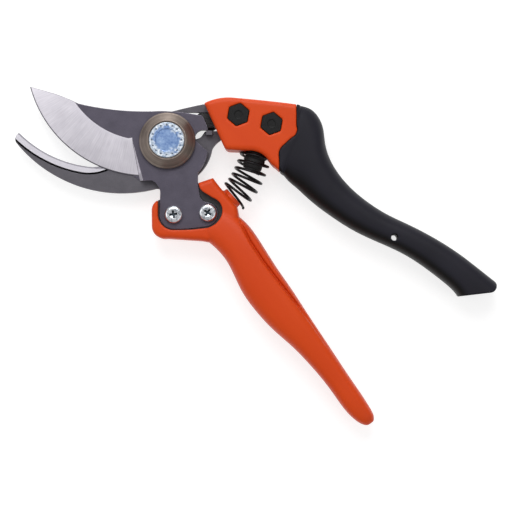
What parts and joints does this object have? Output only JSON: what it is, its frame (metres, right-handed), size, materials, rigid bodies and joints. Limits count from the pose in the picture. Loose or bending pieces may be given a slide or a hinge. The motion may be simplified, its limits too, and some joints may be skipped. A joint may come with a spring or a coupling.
{
  "type": "pruning shears",
  "caption": "Bypass pruning shears with a hooked counterblade, contoured two-material handles, a coil return spring and a thumb lock.",
  "frame": {"origin": "on the pivot axis, at the centre of the flat back of the pivot bolt's head, which lies in the plane that the shears rest on", "axes": "+Z out of the front, where the pivot nut is; -X towards the blades' tips; +X towards the upper handle"},
  "size_m": [0.1973, 0.139, 0.0181],
  "materials": {
    "coated_steel": "dark low-friction coating, ground bright along the bevel",
    "counter_steel": "dark phosphated forging",
    "orange_nylon": "moulded glass-filled nylon, fine texture",
    "black_grip": "soft-touch elastomer",
    "black_plastic": "moulded",
    "black_rubber": "moulded",
    "bearing_steel": "turned",
    "turned_nut": "turned, bronze-grey",
    "plated_disc": "blue-white zinc plate",
    "zinc_screw": "bright zinc plate",
    "brass_insert": "knurled",
    "black_oxide": "black oxide",
    "spring_wire": "black phosphated wire"
  },
  "bodies": {
    "upper_half": {"counterblade": "counter_steel", "upper_handle_core": "orange_nylon", "upper_handle_grip": "black_grip", "handle_bolts": "black_oxide", "handle_nuts": "black_oxide", "spring_bumper": "black_rubber", "return_spring": "spring_wire", "pivot_bolt": "bearing_steel", "back_washer": "bearing_steel", "friction_washer": "bearing_steel", "pivot_nut": "turned_nut", "locking_disc": "plated_disc"},
    "lower_half": {"cutting_blade": "coated_steel", "blade_bush": "bearing_steel", "lock_pin": "bearing_steel", "lower_handle": "orange_nylon", "tang_liner": "black_plastic", "tang_inserts": "brass_insert", "tang_screws": "zinc_screw"},
    "lock": {"lock_slider": "black_plastic", "lock_button": "black_plastic"}
  },
  "joints": [
    {"name": "blade_pivot", "type": "hinge", "parent": "upper_half", "child": "lower_half", "pos_m": [0, 0, 0.009], "axis": [0, 0, 1], "range_deg": [0, 20], "stiffness_Nm_per_rad": 1.4, "springref_deg": -16.04, "deforming": ["return_spring"]},
    {"name": "lock_slide", "type": "slide", "parent": "upper_half", "child": "lock", "axis": [-0.7986, -0.6018, 0], "range_m": [0, 0.0024]}
  ]
}
